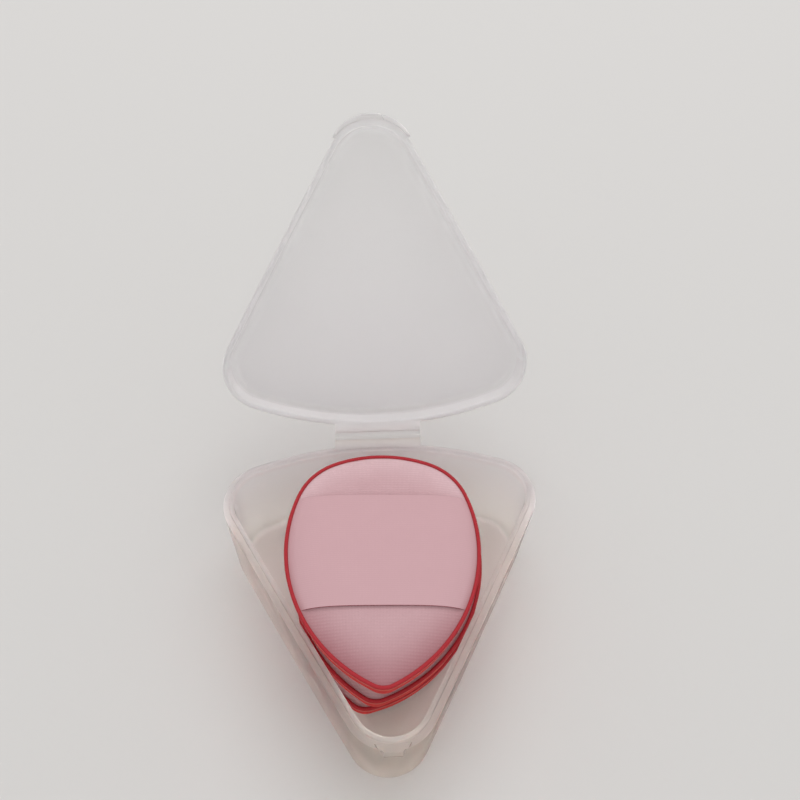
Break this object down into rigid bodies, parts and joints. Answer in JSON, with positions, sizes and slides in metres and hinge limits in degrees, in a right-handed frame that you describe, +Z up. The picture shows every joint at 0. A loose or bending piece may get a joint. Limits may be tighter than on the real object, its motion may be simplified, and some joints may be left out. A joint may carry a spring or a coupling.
{
  "type": "cased powder puff set",
  "caption": "Frosted rounded-triangle case with a hinged lid, holding stacked teardrop finger puffs with padded red faces, pink woven backs and wide finger ribbons.",
  "frame": {"origin": "on the underside of the tray, at the middle of its plan", "axes": "+Z up out of the tray, +Y towards the hinge, -Y towards the apex with the catch, +X to the right when looking along +Y"},
  "size_m": [0.0708, 0.1221, 0.0854],
  "materials": {
    "case_plastic": "frosted, slightly translucent polypropylene, a little warm in colour",
    "puff_cover": "soft matt red velour-like face and side",
    "puff_foam": "open-cell padding, hidden inside the cover",
    "back_cloth": "pink woven cloth with fine crosswise ribs",
    "edge_welt": "smooth pressed red edge",
    "ribbon": "pink satin-like ribbon with fine crosswise ribs"
  },
  "bodies": {
    "tray": {"tray": "case_plastic", "hinge_web": "case_plastic"},
    "lid": {"lid": "case_plastic"},
    "puff_bottom": {"bottom_puff_cover": "puff_cover", "bottom_puff_foam": "puff_foam", "bottom_puff_back_cloth": "back_cloth", "bottom_puff_edge_welt": "edge_welt", "bottom_puff_ribbon": "ribbon"},
    "puff_middle": {"middle_puff_cover": "puff_cover", "middle_puff_foam": "puff_foam", "middle_puff_back_cloth": "back_cloth", "middle_puff_edge_welt": "edge_welt", "middle_puff_ribbon": "ribbon"},
    "puff_top": {"top_puff_cover": "puff_cover", "top_puff_foam": "puff_foam", "top_puff_back_cloth": "back_cloth", "top_puff_edge_welt": "edge_welt", "top_puff_ribbon": "ribbon"}
  },
  "joints": [
    {"name": "lid_hinge", "type": "hinge", "parent": "tray", "child": "lid", "pos_m": [0, 0.03693, 0.02813], "axis": [-1, 0, 0], "range_deg": [-130, 50], "deforming": ["hinge_web"]},
    {"name": "puff_bottom_lift", "type": "slide", "parent": "tray", "child": "puff_bottom", "axis": [0, 0, 1], "range_m": [0, 0.04]},
    {"name": "puff_middle_lift", "type": "slide", "parent": "puff_bottom", "child": "puff_middle", "axis": [0, 0, 1], "range_m": [0, 0.04]},
    {"name": "puff_top_lift", "type": "slide", "parent": "puff_middle", "child": "puff_top", "axis": [0, 0, 1], "range_m": [0, 0.04]}
  ]
}
